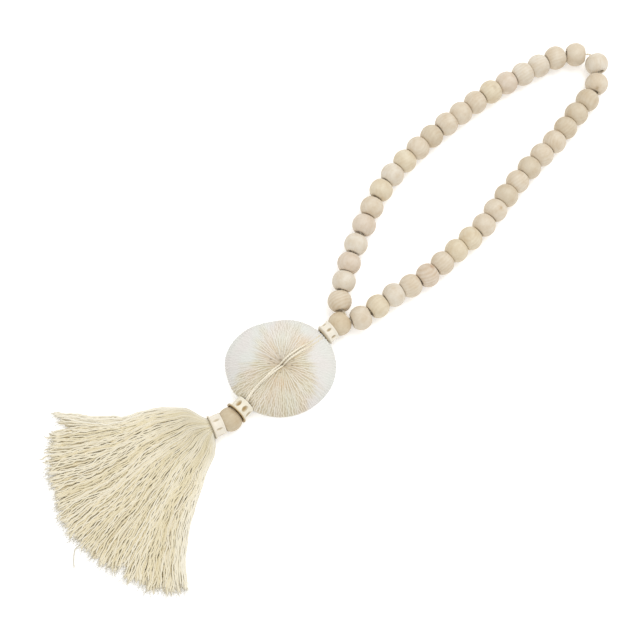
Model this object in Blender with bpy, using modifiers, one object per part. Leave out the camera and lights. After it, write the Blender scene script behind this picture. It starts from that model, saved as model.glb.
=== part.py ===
"""A bead and coral tassel, laid out flat on a table top.

A closed loop of turned wooden beads on cotton cord runs through one more bead
and a carved bone ring to a mushroom-coral disc.  The cord's two strands cross
the disc's face to a second ring, a bead and a third ring, which caps a cotton
yarn tassel fanned out on the table.  +X runs along the string towards the
loop's tip, +Z is up, and the table top is z = 0.
"""
import bisect
import math
import random

import bmesh
import bpy
from mathutils import Matrix, Vector

MM = 0.001

# ---- common ---------------------------------------------------------------
GAP = 0.3                     # clearance left between touching pieces, mm
BOX_CENTRE = (35.2, 5.0)      # middle of the outline, in the layout's own mm

# ---- wooden beads, mm -------------------------------------------------------
BEAD_RADIUS = 10.0
BEAD_LENGTH = 15.9            # turned ends cut the ball short
BEAD_BORE = 3.4
BEAD_STEPS = 10
BEAD_SHOULDER = (5.8, 8.35)   # distance from the middle, radius
BEAD_BELLY = 2.1              # half width of the full-radius band
BEAD_END_RADIUS = 5.6
BEADS_A_SIDE = 20
FIRST_HEADINGS = {"left": 50.0, "right": -24.0}
GURU = (7.5, -16.0)           # the bead that gathers the loop
GURU_HEADING = -4.0
TASSEL_BEAD = (-114.6, -9.6)
TASSEL_BEAD_HEADING = -8.0

# the loop's two sides, each from the gathering bead to the tip: x, y
LEFT_SIDE = [(8.0, -14.5), (22.0, -1.7), (51.0, 16.0), (84.5, 31.0), (118.0, 43.0), (151.5, 47.0),
             (184.4, 46.6), (218.6, 43.5), (252.0, 38.6), (284.8, 30.0), (316.4, 20.2),
             (331.7, 9.0), (343.0, -6.0)]
RIGHT_SIDE = [(8.0, -15.5), (23.2, -24.9), (55.5, -30.2), (88.0, -38.5), (122.0, -40.8), (155.0, -42.0),
              (189.5, -37.2), (222.0, -33.8), (256.0, -32.8), (287.0, -28.9), (306.0, -26.6),
              (321.8, -22.6), (335.5, -12.0), (340.0, 0.5)]
# beads strung with more slack than the rest: bead counted from the gathering
# bead, space before it in mm
LEFT_SLACK = {1: 0.8, 3: 0.6, 4: 1.4, 5: 2.6, 6: 1.3, 7: 1.3, 8: 0.5, 9: 0.5, 12: 1.2,
              14: 0.5, 15: 0.8, 17: 0.8}
RIGHT_SLACK = {}

# ---- carved bone rings, mm --------------------------------------------------
RING_STEPS = 16
RING_BORE = 6.2
FLANGE_WIDTH = 1.5
LIP_WIDTH = 1.0
SLOPE = 0.6                   # length of the step down to the body from either
SOCKET_DEPTH = 2.8
POCKET_COUNT = 7
POCKET_DEPTH = 1.2
POCKET_WIDTH = 3.3
POCKET_MARGIN = 0.4           # plain body left beyond each end of a pocket
POCKET_CUTTER = 5.0           # how tall the cutters stand
# length, then radii: flange at the tassel end, body, lip at the loop end, and the
# mouths of the sockets that the beads' round ends sit in, loop end and tassel end
RING_SIZES = {
    "ring_loop": dict(length=10.4, flange=9.3, body=8.4, lip=8.9, socket_top=7.6, socket_low=6.9),
    "ring_middle": dict(length=11.9, flange=10.3, body=8.2, lip=8.5, socket_top=6.9, socket_low=8.4),
    "ring_cap": dict(length=10.2, flange=10.2, body=9.1, lip=9.5, socket_top=8.4, socket_low=7.4),
}
GURU_SEAT = 7.4               # bead's middle to the face of the ring beside it
BEAD_SEAT = 6.8
RING_LOOP_HEADING = -7.0
RING_LOOP_TILT = 2.0
RING_MIDDLE_HEADING = 1.5
RING_MIDDLE_TILT = 2.8
RING_CAP_HEADING = -20.5
RING_CAP_TILT = -0.8

# ---- coral disc, mm ----------------------------------------------------------
MOUTH = (-53.5, -9.5)         # the slit that all the ribs run out from
CORAL_COLUMNS = 84
# outline about the mouth: degrees, radius
CORAL_OUTLINE = [(0, 43.3), (30, 44.1), (60, 43.4), (90, 47.2), (120, 49.6), (150, 46.3),
                 (180, 43.6), (210, 41.0), (240, 39.9), (270, 40.7), (300, 43.5), (330, 45.0)]
# flats in the rim where the rings meet it: degrees, depth, half width in degrees
RIM_FLATS = [(-6.0, 1.6, 13.0), (180.0, 3.2, 16.0)]
CROWN = 27.5                  # height of the dome about the mouth
RIM_TOP = 4.6
RIM_LOW = 1.7
FOSSA_DEPTH = 7.5
FOSSA_LENGTH = 9.0
FOSSA_WIDTH = 4.2
FOSSA_HEADING = -46.0
RIB_HEIGHT = 0.55             # how far ribs and grooves stand from the even face
RIM_SCALLOP = 0.8             # share of that by which the rim waves in and out
TOP_STATIONS = (0.09, 0.18, 0.30, 0.46, 0.64, 0.80, 0.92, 1.0)
# the underside, from the rim inwards: share of the radius, height
UNDERSIDE = [(0.985, RIM_LOW), (0.90, 0.0), (0.72, 0.0), (0.60, 3.0)]
UNDER_HOLLOW = 3.4
NOTCH_HEIGHT = 3.4            # channel under the disc for the strands behind
NOTCH_HALF_ANGLE = 7.0
NOTCH_BITE = 3.2              # how far the rim is cut back where they go under
NOTCH_STEP = 0.03             # share of the radius by which the channel's rows move in

# ---- cotton cord, mm ---------------------------------------------------------
CORD_RADIUS = 0.9
CORD_APART = 1.3              # each strand's offset where two share a bore
# the strands over the coral's face: x, y of the pair's middle, half their spacing
FACE_ROUTE = [(-18.0, -13.4, 1.9), (-26.0, -11.3, 1.85), (-35.0, -9.4, 1.8),
              (-44.0, -8.4, 1.7), (-53.0, -7.9, 1.6), (-62.0, -7.0, 1.35),
              (-70.0, -6.3, 1.15), (-78.0, -6.1, 1.15), (-86.0, -6.6, 1.2)]
FACE_RISE = 3.4               # height above the bore's middle where they leave a ring
# each strand's turn from the gathering bead into its first loop bead: x, y
GURU_TURNS = {1: [(16.8, -14.0), (17.6, -11.4), (17.9, -9.2)],
              -1: [(16.8, -18.2), (17.2, -20.1)]}
BACK_LOW = 1.3                # height of the strands behind the coral
BACK_INSIDE = 3.0             # how far into each ring they reach

# ---- yarn tassel, mm ---------------------------------------------------------
FAN_APEX = (-117.0, 2.3)      # where the fan's edges would meet
ROOT_RADIUS = 30.0
# the fan's two edges against distance from the apex, degrees off -X towards +Y
LEFT_EDGE = [(30.0, 50.0), (50.0, 48.5), (80.0, 43.5), (110.0, 43.2), (135.0, 44.0), (165.0, 45.5)]
RIGHT_EDGE = [(30.0, -37.5), (50.0, -34.3), (80.0, -32.3), (110.0, -32.4), (135.0, -34.8),
              (165.0, -39.0)]
# how far the cut ends reach, from the right edge (-1) to the left edge (1)
TIP_LINE = [(-1.0, 154.0), (-0.9, 157.0), (-0.6, 162.0), (0.0, 160.0), (0.4, 158.0),
            (0.7, 154.0), (0.85, 154.0), (0.92, 142.0), (1.0, 139.0)]
TIP_RAGGED = 8.0
LAYERS = 4
COLUMNS = 28
UNDER_SHORTER = 5.0           # each layer ends this much short of the one above
LOCK_FILL = 0.80              # share of each cell that a lock takes
CLUMPS = 7                    # bunches that the locks gather into across the fan
NECK_RADIUS = 5.5             # the root's stub inside the cap ring
NECK_LENGTH = 5.0
COLLAR = (9.9, 9.6)           # half width and half height where the root swells out
COLLAR_START = 0.5            # distances from the ring's face
COLLAR_END = 1.3
REACH_BASE = 100.0            # added to a lock's reach to tell it from the root's stations
# height of the pile of yarn against distance from the apex
PILE = [(30.0, 16.5), (60.0, 12.5), (100.0, 9.6), (130.0, 8.4), (160.0, 5.6)]
STRAND_SHARES = (0.18, 0.42, 0.70, 1.0)   # where each lock bends, as shares of its length


# ---- helpers -----------------------------------------------------------------
def interpolate(table, x):
    """Straight-line reading of a table of (x, y) rows."""
    keys = [row[0] for row in table]
    i = min(max(bisect.bisect_right(keys, x) - 1, 0), len(table) - 2)
    (x0, y0), (x1, y1) = table[i], table[i + 1]
    return y0 + (y1 - y0) * (x - x0) / (x1 - x0)


def catmull_rom(a, b, c, d, t):
    """Point at t on the smooth curve through four numbers or vectors."""
    return 0.5 * (2 * b + (c - a) * t + (2 * a - 5 * b + 4 * c - d) * t * t
                  + (3 * b - a - 3 * c + d) * t ** 3)


def smooth_curve(points, per_span=300):
    """Dense points along a smooth open curve through the given ones."""
    p = [Vector(q) for q in points]
    p = [2 * p[0] - p[1]] + p + [2 * p[-1] - p[-2]]
    dense = [catmull_rom(*p[i:i + 4], k / per_span)
             for i in range(len(p) - 3) for k in range(per_span)]
    return dense + [p[-2]]


def heading_vector(degrees):
    return Vector((math.cos(math.radians(degrees)), math.sin(math.radians(degrees)), 0.0))


def material(name, colour, roughness):
    mat = bpy.data.materials.new(name)
    mat.use_nodes = True
    shader = mat.node_tree.nodes["Principled BSDF"]
    shader.inputs["Base Color"].default_value = (*colour, 1.0)
    shader.inputs["Roughness"].default_value = roughness
    shader.inputs["Metallic"].default_value = 0.0
    return mat


def add_object(name, data, mat, matrix=None, collection=None):
    obj = bpy.data.objects.new(name, data)
    (collection or pieces).objects.link(obj)
    obj.parent = layout
    if matrix is not None:
        obj.matrix_basis = matrix
    if mat is not None:
        data.materials.append(mat)
    return obj


def lay_along(x, y, z, heading, tilt=0.0, roll=0.0):
    """Lays a piece's own +Z along a heading, its loop end raised by tilt."""
    turn = (Matrix.Rotation(math.radians(heading), 4, "Z")
            @ Matrix.Rotation(math.radians(90.0 - tilt), 4, "Y")
            @ Matrix.Rotation(roll, 4, "Z"))
    return Matrix.Translation(Vector((x, y, z)) * MM) @ turn


def turned(name, profile, steps, mat, matrix):
    """Spins a closed profile of (radius, height) in mm about Z.

    The radii are grown so that the facets touch the round form.
    """
    mesh = bpy.data.meshes.new(name)
    grow = 1.0 / math.cos(math.pi / steps)
    bm = bmesh.new()
    verts = [bm.verts.new((r * grow * MM, 0.0, h * MM)) for r, h in profile]
    for a, b in zip(verts, verts[1:] + verts[:1]):
        bm.edges.new((a, b))
    bm.to_mesh(mesh)
    bm.free()
    obj = add_object(name, mesh, mat, matrix)
    screw = obj.modifiers.new("spin", "SCREW")
    screw.axis = "Z"
    screw.steps = steps
    screw.render_steps = steps
    screw.merge_threshold = 0.00001
    screw.use_merge_vertices = True
    screw.use_smooth_shade = True
    return obj


# ---- beads -------------------------------------------------------------------
def bead(name, x, y, heading):
    """One wooden bead lying on its belly, bored along the string."""
    half = BEAD_LENGTH / 2
    s, r = BEAD_SHOULDER
    outer = [(BEAD_END_RADIUS, half), (r, s), (BEAD_RADIUS, BEAD_BELLY),
             (BEAD_RADIUS, -BEAD_BELLY), (r, -s), (BEAD_END_RADIUS, -half)]
    bore = [(BEAD_BORE, -half), (BEAD_BORE, half)]
    place = lay_along(x, y, BEAD_RADIUS, heading, roll=math.pi / BEAD_STEPS)
    return turned(name, outer + bore, BEAD_STEPS, wood, place)


def bead_reach(angle):
    """How far a bead reaches from its middle, at an angle from its bore."""
    grow = 1.0 / math.cos(math.pi / BEAD_STEPS)
    half = BEAD_LENGTH / 2
    corners = [(half, BEAD_END_RADIUS), BEAD_SHOULDER, (BEAD_BELLY, BEAD_RADIUS)]
    return max(a * math.cos(angle) + r * grow * math.sin(angle) for a, r in corners)


def spacing_angle(line, heading):
    """Angle between a line and a bore, 0 to 90 degrees, in radians."""
    return math.acos(min(1.0, abs(line.normalized().dot(heading_vector(heading)))))


def string_beads(side, first_heading, slack):
    """Steps beads along one side, each as near the last as their ends allow."""
    curve = smooth_curve([(x, y, 0.0) for x, y in side])
    last, last_heading = Vector((*GURU, 0.0)), GURU_HEADING
    placed = []
    i = 0
    for number in range(1, BEADS_A_SIDE + 1):
        while True:
            ahead = curve[min(i + 1, len(curve) - 1)] - curve[i]
            if ahead.length == 0.0:
                ahead = curve[-1] - curve[-2]
            heading = math.degrees(math.atan2(ahead.y, ahead.x))
            if number == 1:
                heading = first_heading
            line = curve[i] - last
            need = (bead_reach(spacing_angle(line, heading))
                    + bead_reach(spacing_angle(line, last_heading))
                    + max(GAP + 0.05, slack.get(number, 0.0)))
            if line.length >= need or i == len(curve) - 1:
                break
            i += 1
        last, last_heading = curve[i].copy(), heading
        placed.append((last, heading))
    return placed


# ---- bone rings --------------------------------------------------------------
def bone_ring(name, seat_at, seat, heading, tilt, towards_loop):
    """A carved bone tube: flange on the tassel side, pockets round the body.

    seat_at is the middle of the bead it is seated on, and seat the distance
    from there to the ring's nearer face.
    """
    size = RING_SIZES[name]
    half = size["length"] / 2
    body_high = half - LIP_WIDTH - SLOPE
    body_low = -half + FLANGE_WIDTH + SLOPE
    wall = [(size["lip"], half), (size["lip"], half - LIP_WIDTH), (size["body"], body_high),
            (size["body"], body_low), (size["flange"], -half + FLANGE_WIDTH),
            (size["flange"], -half)]
    bore = [(size["socket_low"], -half), (RING_BORE, -half + SOCKET_DEPTH),
            (RING_BORE, half - SOCKET_DEPTH), (size["socket_top"], half)]
    along = math.cos(math.radians(tilt)) * heading_vector(heading)
    along.z = math.sin(math.radians(tilt))
    middle = seat_at + along * (seat + half) * (1 if towards_loop else -1)
    place = lay_along(*middle, heading, tilt, roll=math.pi / RING_STEPS)
    ring = turned(name, wall + bore, RING_STEPS, bone, place)

    pocket_length = body_high - body_low - 2 * POCKET_MARGIN
    cutter_middle = size["body"] - POCKET_DEPTH + POCKET_CUTTER / 2
    cutters = bpy.data.meshes.new(name + "_pockets")
    bm = bmesh.new()
    for k in range(POCKET_COUNT):
        spin = Matrix.Rotation(2 * math.pi * (k + 0.5) / POCKET_COUNT, 4, "Z")
        place_out = Vector((cutter_middle, 0.0, (body_low + body_high) / 2)) * MM
        outwards = Matrix.Translation(place_out) @ Matrix.Rotation(math.pi / 2, 4, "Y")
        oval = Matrix.Diagonal((pocket_length / 2 * MM, POCKET_WIDTH / 2 * MM,
                                POCKET_CUTTER * MM, 1.0))
        bmesh.ops.create_cone(bm, cap_ends=True, segments=6, radius1=1.0, radius2=1.0, depth=1.0,
                              matrix=spin @ outwards @ oval)
    bm.to_mesh(cutters)
    bm.free()
    cutter = add_object(name + "_pockets", cutters, None, place, collection=tools)
    cutter.hide_render = True
    cutter.display_type = "WIRE"
    cut = ring.modifiers.new("pockets", "BOOLEAN")
    cut.operation = "DIFFERENCE"
    cut.solver = "EXACT"
    cut.object = cutter
    return middle, along


# ---- coral disc --------------------------------------------------------------
def turn_between(a, b):
    """Smallest turn between two headings, in degrees."""
    return abs((a - b + 180.0) % 360.0 - 180.0)


def coral_radius(degrees):
    """Radius of the coral's outline about its mouth."""
    rows = len(CORAL_OUTLINE)
    step = 360.0 / rows
    i = int((degrees % 360.0) // step)
    t = (degrees % 360.0) / step - i
    radii = [CORAL_OUTLINE[(i + k) % rows][1] for k in (-1, 0, 1, 2)]
    radius = catmull_rom(*radii, t)
    for heading, depth, half_width in RIM_FLATS:
        radius -= depth * math.exp(-(turn_between(degrees, heading) / half_width) ** 2)
    return radius


def coral_top(x, y):
    """Height of the coral's face, without its ribs, at a place in mm."""
    dx, dy = x - MOUTH[0], y - MOUTH[1]
    share = math.hypot(dx, dy) / coral_radius(math.degrees(math.atan2(dy, dx)))
    dome = RIM_TOP + (CROWN - RIM_TOP) * max(0.0, 1.0 - share ** 2.3) ** 0.9
    turn = math.radians(-FOSSA_HEADING)
    along = dx * math.cos(turn) - dy * math.sin(turn)
    across = dx * math.sin(turn) + dy * math.cos(turn)
    fossa = math.exp(-(along / FOSSA_LENGTH) ** 2 - (across / FOSSA_WIDTH) ** 2)
    return dome - FOSSA_DEPTH * fossa


def coral_disc():
    """A mushroom coral: ribbed dome above, a flat foot and shallow hollow below.

    It starts as a ball whose rings of latitude become the rows of stations.
    """
    rows = len(TOP_STATIONS) + len(UNDERSIDE)
    mesh = bpy.data.meshes.new("coral")
    bm = bmesh.new()
    bmesh.ops.create_uvsphere(bm, u_segments=CORAL_COLUMNS, v_segments=rows + 1, radius=1.0)
    for vert in bm.verts:
        polar = math.acos(max(-1.0, min(1.0, vert.co.z)))
        row = round(polar / math.pi * (rows + 1))
        degrees = math.degrees(math.atan2(vert.co.y, vert.co.x))
        column = round(degrees / 360.0 * CORAL_COLUMNS)
        rib = RIB_HEIGHT * (1 if column % 2 == 0 else -1)
        notched = any(turn_between(degrees, flat[0]) < NOTCH_HALF_ANGLE for flat in RIM_FLATS)
        direction = heading_vector(degrees)
        if row == 0:
            share, height = 0.0, coral_top(*MOUTH)
        elif row <= len(TOP_STATIONS):
            share = TOP_STATIONS[row - 1]
            spot = Vector((*MOUTH, 0.0)) + direction * coral_radius(degrees) * share
            height = coral_top(spot.x, spot.y) + rib * min(1.0, share * 2.0)
        elif row <= rows:
            share, height = UNDERSIDE[row - len(TOP_STATIONS) - 1]
            if notched:
                height = max(height, NOTCH_HEIGHT)
                share -= NOTCH_STEP
        else:
            share, height = 0.0, UNDER_HOLLOW
        radius = coral_radius(degrees) * share
        if share > 0.95:
            radius += rib * RIM_SCALLOP
        if notched and share > 0.93:
            radius -= NOTCH_BITE
        vert.co = (Vector((*MOUTH, height)) + direction * radius) * MM
    bmesh.ops.recalc_face_normals(bm, faces=bm.faces)
    bm.to_mesh(mesh)
    bm.free()
    mesh.shade_smooth()
    return add_object("coral", mesh, coral)


# ---- cord --------------------------------------------------------------------
def cord_tube(name, points):
    """A round cord through points in mm."""
    curve = bpy.data.curves.new(name, "CURVE")
    curve.dimensions = "3D"
    curve.bevel_depth = CORD_RADIUS * MM
    curve.bevel_resolution = 2
    curve.use_fill_caps = True
    spline = curve.splines.new("POLY")
    spline.points.add(len(points) - 1)
    for slot, point in zip(spline.points, points):
        slot.co = (*(Vector(point) * MM), 1.0)
    return add_object(name, curve, cotton)


def across(heading):
    """Unit vector to the left of a heading."""
    return heading_vector(heading + 90.0)


def draw_taut(points):
    """Lifts each point that lies under a straight line between two others."""
    for i in range(1, len(points) - 1):
        for before in points[:i]:
            for after in points[i + 1:]:
                share = (points[i].x - before.x) / (after.x - before.x)
                points[i].z = max(points[i].z, before.z + (after.z - before.z) * share)


def face_strand(side):
    """One strand over the coral's face, from the middle ring to the loop's ring."""
    strand = []
    for i, (x, y, half_spacing) in enumerate(FACE_ROUTE):
        before = Vector(FACE_ROUTE[max(i - 1, 0)][:2])
        after = Vector(FACE_ROUTE[min(i + 1, len(FACE_ROUTE) - 1)][:2])
        left = Vector((-(before - after).y, (before - after).x)).normalized()
        spot = Vector((x, y)) + left * half_spacing * side
        near = max(coral_top(spot.x + dx, spot.y + dy)
                   for dx in (-1.5, 0.0, 1.5) for dy in (-0.9, 0.9))
        strand.append(Vector((spot.x, spot.y, near + RIB_HEIGHT + CORD_RADIUS + 2 * GAP)))
    draw_taut(strand)
    return strand[::-1]


def string_route(side, beads):
    """One strand from the tassel's neck, over the coral, up one side of the loop."""
    rise = Vector((0.0, 0.0, FACE_RISE))
    offset = across(0.0) * CORD_APART * side
    cap_half = RING_SIZES["ring_cap"]["length"] / 2
    mid_half = RING_SIZES["ring_middle"]["length"] / 2
    loop_half = RING_SIZES["ring_loop"]["length"] / 2
    bead_half = heading_vector(TASSEL_BEAD_HEADING) * BEAD_LENGTH / 2
    guru_end = guru_middle + heading_vector(GURU_HEADING) * BEAD_LENGTH / 2
    route = [cap_ring + cap_along * (NECK_LENGTH - cap_half + 4 * GAP) + offset,
             tassel_middle - bead_half + offset,
             tassel_middle + bead_half + offset,
             mid_ring + offset,
             mid_ring + mid_along * mid_half + offset + rise]
    route += face_strand(side)
    route += [loop_ring - loop_along * loop_half + offset + rise,
              loop_ring + offset,
              guru_middle + offset,
              guru_end + offset]
    route += [Vector((x, y, BEAD_RADIUS)) for x, y in GURU_TURNS[side]]
    return route + thread_beads(beads)


def thread_beads(beads):
    """The cord's points through a run of beads, closer where the run bends."""
    middles = [Vector((spot.x, spot.y, BEAD_RADIUS)) for spot, _ in beads]
    points = []
    for i, (middle, (_, heading)) in enumerate(zip(middles, beads)):
        along = heading_vector(heading)
        nearby = middles[max(i - 1, 0):i] + middles[i + 1:i + 2]
        bent = max(spacing_angle(other - middle, heading) for other in nearby)
        if i > 0 and (bent > math.radians(9.0) or i == len(beads) - 1):
            points += [middle - along * BEAD_LENGTH / 2.2, middle + along * BEAD_LENGTH / 2.2]
        else:
            points.append(middle)
    return points


def back_strand(side):
    """One strand behind the coral, held inside the ring at each end."""
    loop_face = loop_ring - loop_along * RING_SIZES["ring_loop"]["length"] / 2
    mid_face = mid_ring + mid_along * RING_SIZES["ring_middle"]["length"] / 2
    drop = Vector((0.0, 0.0, -(RING_BORE - CORD_RADIUS - GAP - 0.1)))
    offset = across(0.0) * CORD_APART * side
    towards_loop = (loop_face - mid_face).normalized()
    ends = []
    for face, inwards in ((loop_face, 1.0), (mid_face, -1.0)):
        inside = face + towards_loop * inwards * BACK_INSIDE + offset + drop
        edge = face + offset + drop
        under = face - towards_loop * inwards * (NOTCH_BITE + 0.4) + offset
        under.z = BACK_LOW
        ends.append([inside, edge, under])
    return ends[0] + ends[1][::-1]


# ---- yarn tassel -------------------------------------------------------------
def disc_from_square(u, v):
    """Maps a square of -1 to 1 onto a round disc."""
    return u * math.sqrt(1 - v * v / 2), v * math.sqrt(1 - u * u / 2)


def fan_point(u, v, reach):
    """A place in the fan: u across, v up through the pile, reach from the apex."""
    grow = min(1.0, (reach - ROOT_RADIUS) / 60.0)
    wave = 0.012 * math.sin(reach / 13.0 + 11.0 * u) + 0.006 * math.sin(reach / 7.0 + 23.0 * u)
    clump = 0.5 / (2 * math.pi * CLUMPS) * math.sin(2 * math.pi * CLUMPS * u + 1.0)
    left, right = interpolate(LEFT_EDGE, reach), interpolate(RIGHT_EDGE, reach)
    share = (1.0 + u + (wave + clump) * grow) / 2.0
    angle = math.radians(right + (left - right) * share)
    thin = 1.0 - 0.45 * u ** 4
    return Vector((FAN_APEX[0] - reach * math.cos(angle), FAN_APEX[1] + reach * math.sin(angle),
                   interpolate(PILE, reach) * thin * v))


def yarn_tassel(cap_face, cap_along):
    """The tassel: a neck in the cap ring, a fused root, and locks fanned out.

    It is a brush in (across, up, station) space, bent to its lying form after.
    """
    rng = random.Random(5)
    mesh = bpy.data.meshes.new("tassel")
    bm = bmesh.new()
    bmesh.ops.create_grid(bm, x_segments=COLUMNS, y_segments=LAYERS, size=1.0)
    faces = bm.faces[:]
    for station in (1, 2, 3):
        out = bmesh.ops.extrude_face_region(bm, geom=faces)
        moved = [g for g in out["geom"] if isinstance(g, bmesh.types.BMVert)]
        if station > 1:
            bmesh.ops.delete(bm, geom=faces, context="FACES_ONLY")
        faces = [g for g in out["geom"] if isinstance(g, bmesh.types.BMFace)]
        for vert in moved:
            vert.co.z = station
    neck_faces = [f for f in bm.faces if all(v.co.z == 0.0 for v in f.verts)]
    bmesh.ops.dissolve_faces(bm, faces=neck_faces)
    for face in faces:
        middle = face.calc_center_median()
        layer = int((middle.y + 1.0) / 2.0 * LAYERS)
        ragged = rng.uniform(0.0, TIP_RAGGED) + UNDER_SHORTER * (LAYERS - 1 - layer)
        tip = interpolate(TIP_LINE, middle.x) - ragged
        inset = bmesh.ops.extrude_discrete_faces(bm, faces=[face])["faces"][0]
        for vert in inset.verts:
            vert.co.x = middle.x + (vert.co.x - middle.x) * LOCK_FILL
            vert.co.y = middle.y + (vert.co.y - middle.y) * LOCK_FILL
        end = inset
        for share in STRAND_SHARES:
            end = bmesh.ops.extrude_discrete_faces(bm, faces=[end])["faces"][0]
            for vert in end.verts:
                vert.co.z = REACH_BASE + ROOT_RADIUS + (tip - ROOT_RADIUS) * share

    side = across(math.degrees(math.atan2(cap_along.y, cap_along.x)))
    up = Vector((0.0, 0.0, 1.0))
    margin = (1.0 - LOCK_FILL) / LAYERS
    for vert in bm.verts:
        u, v, station = vert.co
        round_u, round_v = disc_from_square(u, v)
        if station < 0.5:
            place = cap_face + cap_along * NECK_LENGTH
            place += (side * round_u + up * round_v) * NECK_RADIUS
        elif station < 1.5:
            place = cap_face - cap_along * COLLAR_START
            place += (side * round_u + up * round_v) * NECK_RADIUS
        elif station < 2.5:
            place = cap_face - cap_along * COLLAR_END
            place += side * round_u * COLLAR[0] + up * round_v * COLLAR[1]
        elif station < 3.5:
            place = fan_point(u, (v + 1.0) / 2.0, ROOT_RADIUS)
        else:
            v = (v + 1.0 - margin) / (2.0 - 2.0 * margin)
            place = fan_point(u, v, station - REACH_BASE)
        vert.co = place * MM
    bmesh.ops.recalc_face_normals(bm, faces=bm.faces)
    bm.to_mesh(mesh)
    bm.free()
    return add_object("tassel", mesh, yarn)


# ---- scene -------------------------------------------------------------------
for old in list(bpy.data.objects):
    bpy.data.objects.remove(old, do_unlink=True)

pieces = bpy.data.collections.new("tassel")
tools = bpy.data.collections.new("cutters")
bpy.context.scene.collection.children.link(pieces)
bpy.context.scene.collection.children.link(tools)

layout = bpy.data.objects.new("layout", None)
layout.location = (-BOX_CENTRE[0] * MM, -BOX_CENTRE[1] * MM, 0.0)
pieces.objects.link(layout)

wood = material("raw wood", (0.60, 0.50, 0.38), 0.75)
bone = material("carved bone", (0.78, 0.68, 0.50), 0.55)
coral = material("coral", (0.82, 0.78, 0.70), 0.9)
cotton = material("cotton cord", (0.80, 0.72, 0.55), 0.9)
yarn = material("cotton yarn", (0.78, 0.70, 0.50), 0.95)

# beads of the loop, then the one that gathers it and the one above the tassel
left_beads = string_beads(LEFT_SIDE, FIRST_HEADINGS["left"], LEFT_SLACK)
right_beads = string_beads(RIGHT_SIDE, FIRST_HEADINGS["right"], RIGHT_SLACK)
for label, run in (("left", left_beads), ("right", right_beads)):
    for number, (spot, heading) in enumerate(run, start=1):
        bead(f"bead_{label}_{number:02d}", spot.x, spot.y, heading)
bead("bead_guru", *GURU, GURU_HEADING)
bead("bead_tassel", *TASSEL_BEAD, TASSEL_BEAD_HEADING)

guru_middle = Vector((*GURU, BEAD_RADIUS))
tassel_middle = Vector((*TASSEL_BEAD, BEAD_RADIUS))
loop_ring, loop_along = bone_ring("ring_loop", guru_middle, GURU_SEAT, RING_LOOP_HEADING,
                                  RING_LOOP_TILT, towards_loop=False)
mid_ring, mid_along = bone_ring("ring_middle", tassel_middle, BEAD_SEAT, RING_MIDDLE_HEADING,
                                RING_MIDDLE_TILT, towards_loop=True)
cap_ring, cap_along = bone_ring("ring_cap", tassel_middle, BEAD_SEAT, RING_CAP_HEADING,
                                RING_CAP_TILT, towards_loop=False)

coral_disc()

# the cord is one length: up one side of the loop and down the other
up_left = string_route(1, left_beads)
down_right = string_route(-1, right_beads)[::-1]
cord_tube("cord", up_left + down_right)
cord_tube("cord_behind_left", back_strand(1))
cord_tube("cord_behind_right", back_strand(-1))

cap_face = cap_ring - cap_along * RING_SIZES["ring_cap"]["length"] / 2
yarn_tassel(cap_face, cap_along)
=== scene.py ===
"""Dresses the bead and coral tassel, which lies stretched out on a pale floor.

The sections follow the string as it is put together: wooden beads, bone rings, the
coral disc, the twine that carries them, and the cotton yarn tassel at its end.
"""

import math

import bpy
import numpy as np
from mathutils import Matrix, Vector


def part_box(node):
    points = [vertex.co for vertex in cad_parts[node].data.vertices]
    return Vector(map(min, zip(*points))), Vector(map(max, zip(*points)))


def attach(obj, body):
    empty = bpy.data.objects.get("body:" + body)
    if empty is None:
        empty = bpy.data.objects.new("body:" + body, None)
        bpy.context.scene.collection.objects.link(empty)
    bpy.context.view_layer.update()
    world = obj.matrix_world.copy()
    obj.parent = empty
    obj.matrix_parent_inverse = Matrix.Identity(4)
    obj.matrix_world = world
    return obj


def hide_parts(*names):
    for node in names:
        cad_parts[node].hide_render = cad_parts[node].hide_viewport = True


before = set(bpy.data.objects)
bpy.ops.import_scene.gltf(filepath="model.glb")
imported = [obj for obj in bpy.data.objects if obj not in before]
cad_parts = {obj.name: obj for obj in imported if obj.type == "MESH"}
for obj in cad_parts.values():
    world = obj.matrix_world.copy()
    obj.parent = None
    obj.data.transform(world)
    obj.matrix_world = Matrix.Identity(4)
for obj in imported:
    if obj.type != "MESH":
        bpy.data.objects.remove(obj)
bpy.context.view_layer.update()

# ---- wooden beads ------------------------------------------------------------
# Forty-two balls turned from a pale, even-grained wood with their ends cut flat,
# drilled for the cord and sanded.  They are left raw: dull, dry, each a little
# different in tone, with faint growth rings.
MM = 0.001                    # sizes are in millimetres, the scene is in metres
BEAD_RADIUS = 10.0
BEAD_HALF = 8.10              # from the middle to either cut end
BEAD_BORE = 3.3
BEAD_EDGE = 0.35              # softened edge round each cut end
RING_SPACING = 2.6            # growth rings
FIBRE_WIDTH = 0.45            # drawn coarser than real pores so that they show
CLOUD_WIDTH = 7.0             # paler and darker patches
# the wood's tones, and each bead's on its way from the coral to the tip of the loop
TONES = {"p": "#DBD3C4", "m": "#D7CCB9", "s": "#D9CEB6", "d": "#CEC2AC", "r": "#D7CBBB"}
BEAD_TONES = {"left": "mprprmspsmdmmmsrppmm", "right": "mspmrmssmmdmdmmdddmp"}
# beads whose growth rings show more or less than the rest, and one whose rings
# cross its bore, turned by so many radians
RING_STRENGTH = {"bead_left_01": 0.34, "bead_right_05": 0.4, "bead_right_16": 0.2,
                 "bead_guru": 0.15}
CROSS_GRAIN = {"bead_left_01": 1.3}
# small marks in the wood: bead, place on top of it from its middle, size, colour
MARKS = [("bead_right_05", (5.6, 1.8), 1.7, "#B48E6C"),
         ("bead_right_10", (2.0, -3.0), 1.6, "#B79C74"),
         ("bead_left_15", (1.7, -1.4), 1.1, "#96815F"),
         ("bead_right_19", (-5.6, -4.2), 1.3, "#A48E6A")]


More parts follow.
